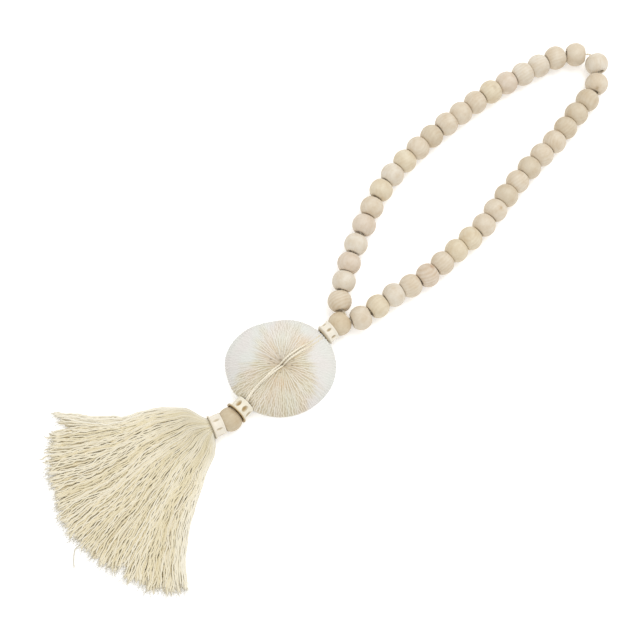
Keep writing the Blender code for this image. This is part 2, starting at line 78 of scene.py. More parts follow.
def linear(hex_colour):
    """An sRGB hex colour as the linear colour that a shader takes."""
    channels = [int(hex_colour[i:i + 2], 16) / 255 for i in (1, 3, 5)]
    return (*(c / 12.92 if c <= 0.04045 else ((c + 0.055) / 1.055) ** 2.4 for c in channels), 1.0)


def blend(base, hex_colour, share):
    """Colours taken by a share towards another."""
    return base * (1 - share) + np.array(linear(hex_colour)) * share


def new_material(name, settings):
    """Starts a material and sets its shader."""
    mat = bpy.data.materials.new(name)
    mat.use_nodes = True
    for key, value in settings.items():
        mat.node_tree.nodes["Principled BSDF"].inputs[key].default_value = value
    return mat


def add_node(mat, kind, settings=None, links=None):
    """Adds a node: settings are its properties and sockets, links what feeds its sockets.

    A Mix of colours has its factor in socket 0 and its two colours in 6 and 7.
    """
    node = mat.node_tree.nodes.new("ShaderNode" + kind)
    for key, value in (settings or {}).items():
        if isinstance(key, str) and hasattr(node, key):
            setattr(node, key, value)
        else:
            node.inputs[key].default_value = value
    for key, socket in (links or {}).items():
        mat.node_tree.links.new(socket, node.inputs[key])
    return node


def wire_shader(mat, colour, relief):
    """Feeds a colour and a relief to a material's shader."""
    shader = mat.node_tree.nodes["Principled BSDF"]
    mat.node_tree.links.new(colour, shader.inputs["Base Color"])
    mat.node_tree.links.new(relief.outputs["Normal"], shader.inputs["Normal"])


def start_mesh(operator, **settings):
    """Starts a piece from a primitive, with nothing else selected."""
    bpy.ops.object.select_all(action="DESELECT")
    operator(**settings)
    return bpy.context.object


def put_attribute(mesh, name, kind, values):
    """Stores one value for each vertex."""
    layer = mesh.attributes.new(name, kind, "POINT")
    field = {"FLOAT": "value", "FLOAT_VECTOR": "vector", "FLOAT_COLOR": "color"}[kind]
    layer.data.foreach_set(field, np.asarray(values, dtype=np.float32).ravel())


def points_of(mesh):
    co = np.empty(len(mesh.vertices) * 3)
    mesh.vertices.foreach_get("co", co)
    return co.reshape(-1, 3)


def put_points(mesh, points):
    mesh.vertices.foreach_set("co", np.asarray(points, dtype=np.float32).ravel())
    mesh.update()


def finish_piece(obj, mat, slot, *nodes):
    """Dresses a piece and lets it stand for its nodes."""
    obj.data.materials.clear()
    obj.data.materials.append(mat)
    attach(obj, "root")
    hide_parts(*nodes)


def transformed(points, matrix):
    m = np.array(matrix)
    return points @ m[:3, :3].T + m[:3, 3]


# raw turned wood: no gloss, faint darker rings, and fine fibres that only catch
# the light at a slant
raw_wood = new_material("raw turned wood", {"Roughness": 0.62})
grain, tint, figure = (add_node(raw_wood, "Attribute", {"attribute_name": name})
                       for name in ("grain", "tint", "figure"))
rings = add_node(raw_wood, "TexWave",
                 {"wave_type": "RINGS", "rings_direction": "Z",
                  "Scale": 2 * math.pi / (20 * RING_SPACING * MM), "Distortion": 3.5,
                  "Detail": 2.0, "Detail Scale": 0.35},
                 {"Vector": grain.outputs["Vector"]})
along_fibre = add_node(raw_wood, "VectorMath",
                       {"operation": "MULTIPLY", 1: (1.0, 1.0, 0.08)}, {0: grain.outputs["Vector"]})
fibres = add_node(raw_wood, "TexNoise",
                  {"Scale": 1 / (FIBRE_WIDTH * MM), "Detail": 3.0},
                  {"Vector": along_fibre.outputs["Vector"]})
clouds = add_node(raw_wood, "TexNoise", {"Scale": 1 / (CLOUD_WIDTH * MM), "Detail": 2.0},
                  {"Vector": grain.outputs["Vector"]})
ring_share = add_node(raw_wood, "Math", {"operation": "MULTIPLY"},
                      {0: rings.outputs["Fac"], 1: figure.outputs["Fac"]})
fibre_share = add_node(raw_wood, "MapRange",
                       {"From Min": 0.45, "From Max": 0.75, "To Min": 0.0, "To Max": 0.35},
                       {"Value": fibres.outputs["Fac"]})
cloud_share = add_node(raw_wood, "MapRange",
                       {"From Min": 0.35, "From Max": 0.7, "To Min": 0.0, "To Max": 0.45},
                       {"Value": clouds.outputs["Fac"]})
marks = add_node(raw_wood, "Math", {"operation": "ADD"},
                 {0: ring_share.outputs[0], 1: fibre_share.outputs[0]})
marks = add_node(raw_wood, "Math", {"operation": "ADD", "use_clamp": True},
                 {0: marks.outputs[0], 1: cloud_share.outputs[0]})
darker = add_node(raw_wood, "Mix",
                  {"data_type": "RGBA", "blend_type": "MULTIPLY", 7: linear("#E6D9C6")},
                  {0: marks.outputs[0], 6: tint.outputs["Color"]})
bump = add_node(raw_wood, "Bump", {"Strength": 0.35, "Distance": 0.12 * MM},
                {"Height": fibres.outputs["Fac"]})
wire_shader(raw_wood, darker.outputs[2], bump)

# one bead is turned, cut, drilled and softened at its edges, then copied
ball = start_mesh(bpy.ops.mesh.primitive_uv_sphere_add, segments=36, ring_count=22,
                  radius=BEAD_RADIUS * MM)
bpy.ops.object.mode_set(mode="EDIT")
for end in (1, -1):
    bpy.ops.mesh.select_all(action="SELECT")
    bpy.ops.mesh.bisect(plane_co=(0, 0, end * BEAD_HALF * MM), plane_no=(0, 0, end),
                        clear_outer=True)
    cut_radius = math.sqrt(BEAD_RADIUS ** 2 - BEAD_HALF ** 2)
    bpy.ops.mesh.extrude_edges_move()
    bore_share = BEAD_BORE / cut_radius
    bpy.ops.transform.resize(value=(bore_share, bore_share, 1.0),
                             center_override=(0, 0, end * BEAD_HALF * MM))
bpy.ops.mesh.select_all(action="DESELECT")
bpy.ops.mesh.select_non_manifold(extend=False)
bpy.ops.mesh.bridge_edge_loops()
bpy.ops.mesh.select_all(action="SELECT")
bpy.ops.mesh.normals_make_consistent(inside=False)
bpy.ops.object.mode_set(mode="OBJECT")
soften = ball.modifiers.new("softened edge", "BEVEL")
soften.width = BEAD_EDGE * MM
soften.segments = 2
soften.limit_method = "ANGLE"
soften.angle_limit = math.radians(28)
bpy.ops.object.modifier_apply(modifier=soften.name)
bpy.ops.object.shade_smooth_by_angle(angle=math.radians(40))
ball_points = points_of(ball.data)


def bead_place(node):
    """Middle and heading of a bead, read from the solid that it stands for."""
    low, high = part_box(node)
    middle = (low + high) / 2
    flat = points_of(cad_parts[node].data)[:, :2] - np.array(middle[:2])
    (xx, xy), (_, yy) = np.cov(flat.T)
    return middle, 0.5 * math.atan2(2 * xy, xx - yy)


def wooden_bead(node, tone, seed):
    """One bead on its cord, with its own turn of the grain and its own tone."""
    rng = np.random.default_rng(seed)
    middle, heading = bead_place(node)
    size = rng.uniform(1.01, 1.04)
    shape = ball_points * np.array([size, size, 1.0])
    lie = (Matrix.Translation((middle.x, middle.y, BEAD_RADIUS * size * MM))
           @ Matrix.Rotation(heading, 4, "Z") @ Matrix.Rotation(math.pi / 2, 4, "Y")
           @ Matrix.Rotation(rng.uniform(0, math.pi), 4, "Z"))
    mesh = ball.data.copy()
    put_points(mesh, transformed(shape, lie))
    bead = bpy.data.objects.new(node + "_wood", mesh)
    bpy.context.scene.collection.objects.link(bead)

    # the heart of the branch lies off to one side of the bead, so that the rings
    # cross it as gentle arcs
    lean, turn = rng.uniform(-0.5, 0.5), rng.uniform(0, 6.3)
    cut = (Matrix.Rotation(CROSS_GRAIN.get(node, 0.0), 4, "Y")
           @ Matrix.Rotation(lean, 4, "X") @ Matrix.Rotation(turn, 4, "Z"))
    cut = Matrix.Translation((rng.uniform(14, 30) * MM, 0, rng.uniform(0, 1))) @ cut
    put_attribute(mesh, "grain", "FLOAT_VECTOR", transformed(ball_points, cut))
    colours = np.tile(np.array(linear(tone)), (len(shape), 1))
    for marked, (dx, dy), reach, colour in MARKS:
        if marked == node:
            up = math.sqrt(BEAD_RADIUS ** 2 - dx * dx - dy * dy)
            spot = np.array([middle.x + dx * MM, middle.y + dy * MM, (BEAD_RADIUS + up) * MM])
            away = np.linalg.norm(points_of(mesh) - spot, axis=1) / (reach * MM)
            colours = blend(colours, colour, np.exp(-away ** 2)[:, None])
    put_attribute(mesh, "tint", "FLOAT_COLOR", colours)
    put_attribute(mesh, "figure", "FLOAT",
                  np.full(len(shape), RING_STRENGTH.get(node, rng.uniform(0.03, 0.20))))
    finish_piece(bead, raw_wood, "wood", node)


for side, seed in (("left", 400), ("right", 500)):
    for number, tone in enumerate(BEAD_TONES[side], start=1):
        wooden_bead(f"bead_{side}_{number:02d}", TONES[tone], seed + number)
wooden_bead("bead_guru", "#CFC1A7", 71)
wooden_bead("bead_tassel", "#C8BA9F", 72)
bpy.data.objects.remove(ball, do_unlink=True)

# ---- bone rings --------------------------------------------------------------
# Three slices of bone tube with a flange at the tassel end, a lip at the other and
# seven oval pockets ground round the body.  Bone is creamy white outside and goes
# brown towards the marrow; the ring in the middle has taken most stain.
RING_BORE = 6.3
RING_STEPS = 72               # round the lathe
LIP_WIDTH = 1.0
SLOPE = 0.6                   # from lip or flange down to the body
SOCKET_DEPTH = 2.8            # the cup at each end that a bead sits in
WORN_EDGE = 0.28
POCKETS = 7
MOTTLE_WIDTH = 2.2
BONE_GRIT = 0.5               # drawn coarser than real polishing marks
ORIGIN = Vector((35.2, 5.0, 0.0))     # where the frame's zero lies in the source's layout
# middle in the source's layout, heading and tilt in degrees, then length, radii, the
# two cups, a pocket's half length, half width and depth, how far round the pockets
# are turned, colours, and the chamfer of the flange
BONE_RINGS = {
    "ring_loop": dict(middle=(-5.0, -14.47, 9.2), heading=-7.0, tilt=-2.4, length=10.4,
                      flange=9.3, body=8.4, lip=8.9, socket_top=7.6, socket_low=6.5,
                      flange_width=2.5, pocket=(2.6, 1.3, 1.0), roll=0.50, tone="#FFFEFA",
                      stain="#B5A27C", chamfer=2.0),
    "ring_middle": dict(middle=(-101.87, -9.27, 9.6), heading=1.5, tilt=-8.0, length=11.9,
                        flange=10.3, body=8.2, lip=8.5, socket_top=7.1, socket_low=8.6,
                        flange_width=1.5, pocket=(3.2, 2.2, 1.7), roll=0.02, tone="#FFFEF6",
                        stain="#B99F6C", chamfer=0.0),
    "ring_cap": dict(middle=(-125.75, -5.43, 9.95), heading=-20.5, tilt=-4.5, length=10.2,
                     flange=10.2, body=9.1, lip=9.5, socket_top=8.5, socket_low=8.9,
                     flange_width=1.5, pocket=(3.2, 1.15, 0.9), roll=0.20, tone="#FFFDF9",
                     stain="#D0C5AE", chamfer=0.0),
}

# carved and polished bone: a soft low gloss over mottled creams, brown where it is
# stained, with fine scratches left by the polishing
carved_bone = new_material("carved and polished bone", {"Roughness": 0.42})
stain = add_node(carved_bone, "Attribute", {"attribute_name": "stain"})
where = add_node(carved_bone, "TexCoord")
mottle = add_node(carved_bone, "TexNoise", {"Scale": 1 / (MOTTLE_WIDTH * MM), "Detail": 3.0},
                  {"Vector": where.outputs["Object"]})
creams = add_node(carved_bone, "Mix",
                  {"data_type": "RGBA", 6: linear("#E9E4D9"), 7: linear("#DFD7C8")},
                  {0: mottle.outputs["Fac"]})
bone_colour = add_node(carved_bone, "Mix",
                       {"data_type": "RGBA", "blend_type": "MULTIPLY", 0: 1.0},
                       {6: creams.outputs[2], 7: stain.outputs["Color"]})
grit = add_node(carved_bone, "TexNoise", {"Scale": 1 / (BONE_GRIT * MM), "Detail": 2.0},
                {"Vector": where.outputs["Object"]})
bump = add_node(carved_bone, "Bump", {"Strength": 0.25, "Distance": 0.10 * MM},
                {"Height": grit.outputs["Fac"]})
wire_shader(carved_bone, bone_colour.outputs[2], bump)


def turned_tube(name, profile, steps):
    """Turns a closed profile of (radius, height) in mm into a tube, as on a lathe."""
    radius, height = profile[0]
    tube = start_mesh(bpy.ops.mesh.primitive_circle_add, vertices=steps, radius=radius * MM,
                      location=(0, 0, height * MM))
    bpy.ops.object.transform_apply(location=True)
    bpy.ops.object.mode_set(mode="EDIT")
    bpy.ops.mesh.select_all(action="SELECT")
    for next_radius, next_height in profile[1:]:
        bpy.ops.mesh.extrude_edges_move(
            TRANSFORM_OT_translate={"value": (0, 0, (next_height - height) * MM)})
        bpy.ops.transform.resize(value=(next_radius / radius, next_radius / radius, 1.0),
                                 center_override=(0, 0, next_height * MM))
        radius, height = next_radius, next_height
    bpy.ops.mesh.select_all(action="DESELECT")
    bpy.ops.mesh.select_non_manifold(extend=False)
    bpy.ops.mesh.bridge_edge_loops()
    bpy.ops.mesh.select_all(action="SELECT")
    bpy.ops.mesh.normals_make_consistent(inside=False)
    bpy.ops.object.mode_set(mode="OBJECT")
    tube.name = name
    return tube


for node, ring in BONE_RINGS.items():
    half = ring["length"] / 2
    body_high = half - LIP_WIDTH - SLOPE
    body_low = -half + ring["flange_width"] + SLOPE
    profile = [(ring["lip"], half), (ring["lip"], half - LIP_WIDTH), (ring["body"], body_high),
               (ring["body"], body_low), (ring["flange"], -half + ring["flange_width"]),
               (ring["flange"], -half + ring["chamfer"] + 0.1),
               (ring["flange"] - 1.4 * ring["chamfer"], -half), (ring["socket_low"], -half),
               (RING_BORE, -half + SOCKET_DEPTH), (RING_BORE, half - SOCKET_DEPTH),
               (ring["socket_top"], half)]
    tube = turned_tube(node + "_bone", profile, RING_STEPS)
    edges = tube.modifiers.new("worn edges", "BEVEL")
    edges.width = WORN_EDGE * MM
    edges.segments = 2
    edges.limit_method = "ANGLE"
    bpy.ops.object.modifier_apply(modifier=edges.name)

    # the pockets are ground with a ball-ended burr, so each is an oval bowl
    length, width, depth = ring["pocket"]
    cutters = []
    for k in range(POCKETS):
        turn = 2 * math.pi * (k + ring["roll"]) / POCKETS
        out = (ring["body"] + 0.15) * MM
        burr = start_mesh(bpy.ops.mesh.primitive_uv_sphere_add, segments=24, ring_count=14,
                          radius=1.0, rotation=(0, 0, turn),
                          location=(out * math.cos(turn), out * math.sin(turn),
                                    (body_low + body_high) / 2 * MM),
                          scale=(depth * MM, width * MM, length * MM))
        cutters.append(burr)
    bpy.ops.object.select_all(action="DESELECT")
    for burr in cutters:
        burr.select_set(True)
    bpy.context.view_layer.objects.active = cutters[0]
    bpy.ops.object.join()
    bpy.ops.object.transform_apply()
    bpy.ops.object.select_all(action="DESELECT")
    tube.select_set(True)
    bpy.context.view_layer.objects.active = tube
    grind = tube.modifiers.new("pockets", "BOOLEAN")
    grind.operation = "DIFFERENCE"
    grind.solver = "EXACT"
    grind.object = cutters[0]
    bpy.ops.object.modifier_apply(modifier=grind.name)
    bpy.data.objects.remove(cutters[0], do_unlink=True)
    bpy.ops.object.shade_smooth_by_angle(angle=math.radians(35))

    # brown gathers in the pockets and towards the bore
    co = points_of(tube.data) / MM
    outward = np.hypot(co[:, 0], co[:, 1])
    wall = np.interp(co[:, 2], [-half, SOCKET_DEPTH - half, half - SOCKET_DEPTH, half],
                     [ring["socket_low"], RING_BORE, RING_BORE, ring["socket_top"]])
    inside = outward < wall + 0.35
    in_body = (np.abs(co[:, 2] - (body_low + body_high) / 2) < length * 0.97) & ~inside
    sunk = np.where(in_body, (ring["body"] - 0.1 - outward) / depth, 0.0)
    share = np.clip(sunk * 1.3, 0.0, 1.0)
    chamfer = (co[:, 2] < -half + 0.9 * ring["chamfer"]) & (ring["chamfer"] > 0)
    end_face = (co[:, 2] < -half + 0.15) & (ring["chamfer"] == 0)
    share = np.maximum(share, np.where(inside | chamfer | end_face, 0.95, 0.0))[:, None]
    put_attribute(tube.data, "stain", "FLOAT_COLOR",
                  blend(np.array(linear(ring["tone"])), ring["stain"], share))
    lie = (Matrix.Translation((Vector(ring["middle"]) - ORIGIN) * MM)
           @ Matrix.Rotation(math.radians(ring["heading"]), 4, "Z")
           @ Matrix.Rotation(math.radians(90.0 - ring["tilt"]), 4, "Y"))
    put_points(tube.data, transformed(points_of(tube.data), lie))
    finish_piece(tube, carved_bone, "bone", node)

# ---- coral disc --------------------------------------------------------------
# The dry skeleton of a mushroom coral: a low dome of thin upright walls that run out
# from the mouth, more and more of them, and so stay about 2 mm apart.  Chalky and
# dull, bleached at two sides of the rim and stained buff in the grooves elsewhere;
# every groove is also painted darker than the crests, as painted shade between the walls.
MOUTH = (-53.5, -9.5)         # middle of the disc in the source's layout
# heading in degrees, radius
CORAL_OUTLINE = [(0, 43.3), (30, 44.1), (60, 43.4), (90, 47.2), (120, 49.6), (150, 46.3),
                 (180, 43.6), (210, 41.0), (240, 39.9), (270, 40.7), (300, 43.5), (330, 45.0)]
# where a ring stands against the rim: heading, distance of its face from the mouth,
# how much thicker the rim is there
RIM_FLATS = [(-7.0, 43.5, 10.8), (181.5, 42.2, 8.4)]
CROWN = 27.5                  # height of the dome
RIM_TOP = 4.6                 # upper and lower edge of the rim
RIM_LOW = 1.7
FACE_LOW = 3.9                # the face comes no lower than this
FOSSA_DEPTH = 5.5             # the hollow that the mouth lies in
FOSSA_LENGTH = 9.0            # from its middle
FOSSA_WIDTH = 4.2
FOSSA_HEADING = -46.0
SLIT_DEPTH = 2.4              # the mouth itself
SLIT_LENGTH = 2.4
SLIT_WIDTH = 0.9
NOTCH_HEIGHT = 3.4            # the underside is cut away where twine passes to the back
NOTCH_HALF_ANGLE = 7.0
NOTCH_BITE = 3.2
CORAL_COLUMNS = 1024
CORAL_ROWS = 78
WALLS = 124                   # upright walls at the rim
# walls by where they start: every how many, share of the radius, height in mm
WALL_ORDERS = [(4, 0.05, 0.90), (2, 0.24, 0.85), (1, 0.48, 0.75)]
WALL_HALF_WIDTH = 0.82
TOOTH = 2.3                   # length of one tooth along a wall's edge
# where the bleached rim starts, against the heading: degrees, share of the radius
BLEACHED_FROM = [(-45, 0.55), (-15, 0.57), (15, 0.80), (45, 0.90), (75, 0.76), (105, 0.50),
                 (135, 0.60), (165, 1.16), (195, 1.20), (225, 1.15), (255, 1.02), (285, 0.72)]
# how deep the stain goes, against the heading: degrees, share
STAIN_DEPTH = [(-45, 0.8), (0, 0.7), (45, 0.45), (90, 0.55),
               (135, 0.8), (180, 1.0), (225, 1.0), (270, 0.9)]
# orange stains: heading, share of the radius, size, strength
RUST = [(4, 0.60, 6.5, 0.65), (-137, 0.36, 5.5, 0.8), (-150, 0.62, 6.0, 0.35),
        (70, 0.35, 6.0, 0.35), (-23, 0.27, 5.0, 0.4)]
CORAL_GRAIN = 0.6


def ring_table(table, degrees):
    """Smooth reading of a table that goes once round, in degrees."""
    step = 360.0 / len(table)
    place = ((np.asarray(degrees) - table[0][0]) % 360.0) / step
    i = np.floor(place).astype(int)
    t = place - i
    rows = np.array([row[1] for row in table])
    a, b, c, d = (rows[(i + k) % len(table)] for k in (-1, 0, 1, 2))
    return 0.5 * (2 * b + (c - a) * t + (2 * a - 5 * b + 4 * c - d) * t ** 2
                  + (3 * b - a - 3 * c + d) * t ** 3)


def turn_between(a, b):
    return np.abs((a - b + 180.0) % 360.0 - 180.0)


def coral_radius(degrees):
    """The outline, cut off straight where a ring stands against it."""
    radius = ring_table(CORAL_OUTLINE, degrees)
    for heading, distance, _ in RIM_FLATS:
        apart = np.radians(np.minimum(turn_between(degrees, heading), 60.0))
        radius = np.minimum(radius, distance / np.cos(apart))
    return radius


def patches(x, y, seed):
    """Smooth uneven patches about one unit across, mostly between -1 and 1."""
    rng = np.random.default_rng(seed)
    headings, phases = rng.uniform(0, math.pi, 8), rng.uniform(0, 6.3, 8)
    total = 0.0
    for heading, phase, size in zip(headings, phases, rng.uniform(0.7, 1.5, 8)):
        along = x * math.cos(heading) + y * math.sin(heading)
        total = total + np.sin(along * math.pi / size + phase)
    return total / 4.0


def from_mouth(x, y):
    """Heading of a place from the mouth, and its share of the radius there."""
    dx, dy = x - MOUTH[0], y - MOUTH[1]
    degrees = np.degrees(np.arctan2(dy, dx))
    return degrees, np.hypot(dx, dy) / coral_radius(degrees)


def hollow(x, y, length, width):
    """1 in the middle of an oval that lies along the fossa, 0 well outside it."""
    turn = math.radians(-FOSSA_HEADING)
    dx, dy = x - MOUTH[0], y - MOUTH[1]
    along = dx * math.cos(turn) - dy * math.sin(turn)
    across = dx * math.sin(turn) + dy * math.cos(turn)
    return np.exp(-(along / length) ** 2 - (across / width) ** 2)


def coral_top(x, y):
    """Height of the coral's face without its walls, in the source's layout."""
    degrees, share = from_mouth(x, y)
    rim = RIM_TOP + sum(lift * np.exp(-(turn_between(degrees, heading) / 25.0) ** 2)
                        for heading, _, lift in RIM_FLATS) * np.clip(share * 3 - 1.6, 0, 1)
    dome = rim + (CROWN - rim) * np.maximum(0.0, 1.0 - share ** 2.3) ** 0.9
    return (dome - SLIT_DEPTH * hollow(x, y, SLIT_LENGTH, SLIT_WIDTH)
            - FOSSA_DEPTH * hollow(x, y, FOSSA_LENGTH, FOSSA_WIDTH))


def wall_height(turns, share, radius):
    """Height of the upright walls, 0 in the grooves, and the shade of the nearest one.

    turns goes 0 to 1 round the disc.
    """
    rng = np.random.default_rng(8)
    off = rng.uniform(-0.13, 0.13, WALLS)
    late = rng.uniform(-0.08, 0.10, WALLS)
    tall = rng.uniform(0.7, 1.1, WALLS)
    shade = rng.uniform(0.0, 1.0, WALLS)
    sway, phase = rng.uniform(0.05, 0.16, WALLS), rng.uniform(0, 2 * math.pi, WALLS)
    start, height = np.zeros(WALLS), np.zeros(WALLS)
    for every, first, mm in WALL_ORDERS[::-1]:
        start[::every], height[::every] = first, mm
    best, nearest_shade = np.zeros_like(turns), np.full_like(turns, 0.5)
    nearest = np.round(turns * WALLS).astype(int)
    for step in range(-4, 5):
        k = (nearest + step) % WALLS
        bend = (off[k] + sway[k] * np.sin(9.0 * share + phase[k]) * np.clip(share * 2, 0, 1)
                + 0.16 * np.sin(34.0 * share + 3 * phase[k])
                + 0.10 * np.sin(71.0 * share + 5 * phase[k]))
        apart = (turns * WALLS - (nearest + step) - bend) / WALLS * 2 * math.pi * share * radius
        grown = np.clip((share - start[k] - late[k]) / 0.10, 0.0, 1.0)
        teeth = 0.86 + 0.14 * np.sin(2 * math.pi * share * radius / TOOTH + 5 * phase[k])
        wall = np.clip(1.0 - (np.abs(apart) / WALL_HALF_WIDTH) ** 1.6, 0.0, 1.0)
        wall = wall * height[k] * tall[k] * grown * teeth
        nearest_shade = np.where(wall > best, shade[k], nearest_shade)
        best = np.maximum(best, wall)
    return best, nearest_shade


disc = start_mesh(bpy.ops.mesh.primitive_uv_sphere_add, segments=CORAL_COLUMNS,
                  ring_count=CORAL_ROWS + 1, radius=1.0)
co = points_of(disc.data)
row = np.rint(np.arccos(np.clip(co[:, 2], -1, 1)) / math.pi * (CORAL_ROWS + 1)).astype(int)
degrees = np.degrees(np.arctan2(co[:, 1], co[:, 0]))
# stations: over the face from the mouth to the rim, round the rim, and underneath
face_rows = CORAL_ROWS - 12
face = np.linspace(0, 1, face_rows + 1) ** 0.9
share = np.interp(row, range(CORAL_ROWS + 2),
                  [*face, 1.005, 1.0, 0.985, 0.96, 0.93, 0.90,
                   0.81, 0.72, 0.66, 0.60, 0.40, 0.20, 0.0])
under = np.interp(row, range(face_rows + 1, CORAL_ROWS + 2),
                  [3.6, 2.6, RIM_LOW, 0.8, 0.25, 0.0, 0.0, 0.0, 1.4, 3.0, 3.3, 3.4, 3.4])
on_face = row <= face_rows
radius = coral_radius(degrees)
notch = np.max([1.0 / (1.0 + np.exp((turn_between(degrees, flat[0]) - NOTCH_HALF_ANGLE) * 2.0))
                for flat in RIM_FLATS], axis=0)
walls, shade = wall_height((degrees % 360.0) / 360.0, share, radius)
fade = np.where(on_face, 1.0, np.clip((share - 0.90) / 0.10, 0.0, 1.0))
smooth_x = MOUTH[0] + share * radius * np.cos(np.radians(degrees))
smooth_y = MOUTH[1] + share * radius * np.sin(np.radians(degrees))
blotches = patches(smooth_x / 8, smooth_y / 8, 9)
stained = ring_table(BLEACHED_FROM, degrees) - share + 0.08 * blotches + 0.16 * (shade - 0.5)
stained = np.clip(stained / 0.22 + 0.5, 0.0, 1.0)
reach = share * radius + np.where(share > 0.93, (walls * fade - 0.45) * 0.6, 0.0)
walls = walls * fade * (0.40 + 0.60 * stained)      # bleached walls are worn low
reach -= notch * NOTCH_BITE * np.clip((share - 0.93) / 0.04, 0.0, 1.0) * ~on_face
reach -= notch * 0.03 * radius * (~on_face & (share > 0.5) & (share < 0.93))
x = MOUTH[0] + reach * np.cos(np.radians(degrees))
y = MOUTH[1] + reach * np.sin(np.radians(degrees))
lumps = patches(smooth_x / 13, smooth_y / 13, 4)
top = (coral_top(smooth_x, smooth_y) + (walls - 0.5) * np.clip(share * 6, 0, 1)
       + 0.3 * lumps * (1 - share))
bottom = np.maximum(under + walls * 0.35 * (under > 0.1), notch * NOTCH_HEIGHT * (share > 0.5))
z = np.where(on_face, np.maximum(top, FACE_LOW), bottom)
put_points(disc.data, np.stack([x - ORIGIN.x, y - ORIGIN.y, z], axis=1) * MM)

# stored on the points: how high a point is on its wall, how stained it is, and
# where the orange stains, the painted shade of the mouth's slit and of the pits round it,
# and the pinker patches are
stained = stained * ring_table(STAIN_DEPTH, degrees) * (0.75 + 0.5 * shade)
stained = np.where(on_face, np.clip(stained * (1.25 - 0.35 * share), 0, 1), 0.4 * stained)
rust = np.zeros_like(share)
for heading, spot_share, size, strength in RUST:
    spot = coral_radius(heading) * spot_share
    away = np.hypot(x - MOUTH[0] - spot * math.cos(math.radians(heading)),
                    y - MOUTH[1] - spot * math.sin(math.radians(heading))) / size
    rust = np.maximum(rust, strength * np.exp(-away ** 2) * (0.35 + 0.65 * shade) * (1.2 - walls))
put_attribute(disc.data, "crest", "FLOAT", np.clip(walls / 0.8, 0.0, 1.0))
put_attribute(disc.data, "stained", "FLOAT", stained)
put_attribute(disc.data, "rust", "FLOAT", np.clip(rust, 0.0, 1.0) * on_face)
# painted shade: the pits round the mouth, darkest between the walls, and the mouth's slit are
# painted dark, as holes in shade
shaded_pits = np.clip(patches((x - MOUTH[0]) / 1.3, (y - MOUTH[1]) / 1.3, 12) - 0.35, 0.0, 1.0)
shaded_pits = shaded_pits * np.exp(-((share - 0.15) / 0.14) ** 2) * (1.1 - np.clip(walls, 0.0, 1.0))
mouth_shade = hollow(x, y, SLIT_LENGTH, SLIT_WIDTH) * 0.8 + shaded_pits * 0.9
put_attribute(disc.data, "mouth_shade", "FLOAT", np.clip(mouth_shade, 0.0, 1.0) * on_face)
pink = 0.5 + 0.7 * patches(smooth_x / 11, smooth_y / 11, 21)
put_attribute(disc.data, "pink", "FLOAT", np.clip(pink, 0.0, 1.0))
put_attribute(disc.data, "share", "FLOAT", share)
disc.name = "coral_skeleton"
bpy.ops.object.shade_smooth()

# dry coral skeleton: chalk white, quite dull, buff dust held in the grooves where it is
# stained, and painted shade making every groove darker than the crests
dry_coral = new_material("dry coral skeleton", {"Roughness": 0.85})
crest, stained, rust, share_of_radius, pink, mouth_shade = (
    add_node(dry_coral, "Attribute", {"attribute_name": name})
    for name in ("crest", "stained", "rust", "share", "pink", "mouth_shade"))
where = add_node(dry_coral, "TexCoord")
grain = add_node(dry_coral, "TexNoise", {"Scale": 1 / (CORAL_GRAIN * MM), "Detail": 3.0},
                 {"Vector": where.outputs["Object"]})
# painted shade: the chalk and the buff both go darker from the crests down into the grooves
chalk_with_groove_shade = add_node(dry_coral, "Mix",
                 {"data_type": "RGBA", 6: linear("#DAD9D7"), 7: linear("#E8E8E8")},
                 {0: crest.outputs["Fac"]})
buff_dust_with_groove_shade = add_node(dry_coral, "Mix",
                {"data_type": "RGBA", 6: linear("#C6BAA1"), 7: linear("#E7E2D6")},
                {0: crest.outputs["Fac"]})
two_tones = add_node(dry_coral, "Mix", {"data_type": "RGBA"},
                     {0: stained.outputs["Fac"], 6: chalk_with_groove_shade.outputs[2], 7: buff_dust_with_groove_shade.outputs[2]})
rusty = add_node(dry_coral, "Mix",
                 {"data_type": "RGBA", 7: linear("#D9BD98")},
                 {0: rust.outputs["Fac"], 6: two_tones.outputs[2]})
flush = add_node(dry_coral, "Mix",
                 {"data_type": "RGBA", 6: linear("#FAFBF5"), 7: linear("#FCF8F4")},
                 {0: pink.outputs["Fac"]})
flushed = add_node(dry_coral, "Mix",
                   {"data_type": "RGBA", "blend_type": "MULTIPLY", 0: 1.0},
                   {6: rusty.outputs[2], 7: flush.outputs[2]})
near_mouth = add_node(dry_coral, "MapRange",
                      {"From Min": 0.05, "From Max": 0.40, "To Min": 0.40, "To Max": 0.0},
                      {"Value": share_of_radius.outputs["Fac"]})
mouth_tone = add_node(dry_coral, "Mix",
                      {"data_type": "RGBA", 7: linear("#B8A587")},
                      {0: near_mouth.outputs[0], 6: flushed.outputs[2]})
# painted shade: the mouth's slit and the pits round it are painted dark brown
pit_shade = add_node(dry_coral, "Mix", {"data_type": "RGBA", 7: linear("#5E4C36")},
               {0: mouth_shade.outputs["Fac"], 6: mouth_tone.outputs[2]})
bump = add_node(dry_coral, "Bump", {"Strength": 0.4, "Distance": 0.25 * MM},
                {"Height": grain.outputs["Fac"]})
wire_shader(dry_coral, pit_shade.outputs[2], bump)
finish_piece(disc, dry_coral, "coral", "coral")

# ---- twine -------------------------------------------------------------------
# One length of unbleached two-ply cotton twine, 1.8 mm across: up one side of the
# loop and down the other, twice over the coral's face, and into the tassel.  Two
# shorter strands hold the disc from behind.
PLY_RADIUS = 0.50
PLY_OFFSET = 0.43             # from the twine's middle to each ply's
TWIST_LENGTH = 4.6            # one full turn
TWINE_STEP = 0.46
TWINE_SIDES = 7
FIBRE_LAY = 2.2222            # along a ply, in one turn of its own fibres
TWINE_PATCH = 1.5             # uneven colour
LIFT = 1.15                   # of the twine's middle over the coral's face
SINK = 2.0                    # how far it sinks between walls towards the loop
SINK_FROM, SINK_LENGTH = -33.0, 13.0
BEHIND_APART = 1.3            # from the middle to each strand behind the disc
